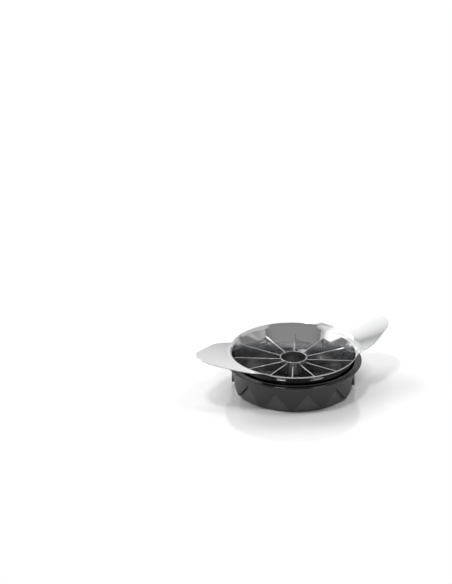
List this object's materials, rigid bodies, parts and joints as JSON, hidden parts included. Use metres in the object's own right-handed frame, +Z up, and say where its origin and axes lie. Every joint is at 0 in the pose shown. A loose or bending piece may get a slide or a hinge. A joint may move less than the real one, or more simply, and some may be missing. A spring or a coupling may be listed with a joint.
{
  "type": "fruit divider",
  "caption": "Push-down fruit divider: steel ring with two wing handles, radial blades round a coring tube, seated in a black base whose pads have a slot under each blade.",
  "frame": {"origin": "middle of the base's underside, on the table", "axes": "+Z up, +X along the two wings, +Y across them"},
  "size_m": [0.1736, 0.112, 0.0436],
  "materials": {
    "base_plastic": "black moulded plastic, fine matte outside and glossy inside the flared lip",
    "sheet_steel": "pressed stainless sheet, satin on the wings and polished on the ring",
    "blade_steel": "thin stainless strip, ground at the lower edge"
  },
  "bodies": {
    "base": {"base": "base_plastic"},
    "cutter": {"cutter_frame": "sheet_steel", "coring_tube": "blade_steel", "blade_1": "blade_steel", "blade_2": "blade_steel", "blade_3": "blade_steel", "blade_4": "blade_steel", "blade_5": "blade_steel", "blade_6": "blade_steel", "blade_7": "blade_steel", "blade_8": "blade_steel", "blade_9": "blade_steel", "blade_10": "blade_steel", "blade_11": "blade_steel", "blade_12": "blade_steel"}
  },
  "joints": [
    {"name": "cutter_lift", "type": "slide", "parent": "base", "child": "cutter", "axis": [0, 0, 1], "range_m": [0, 0.12]}
  ]
}
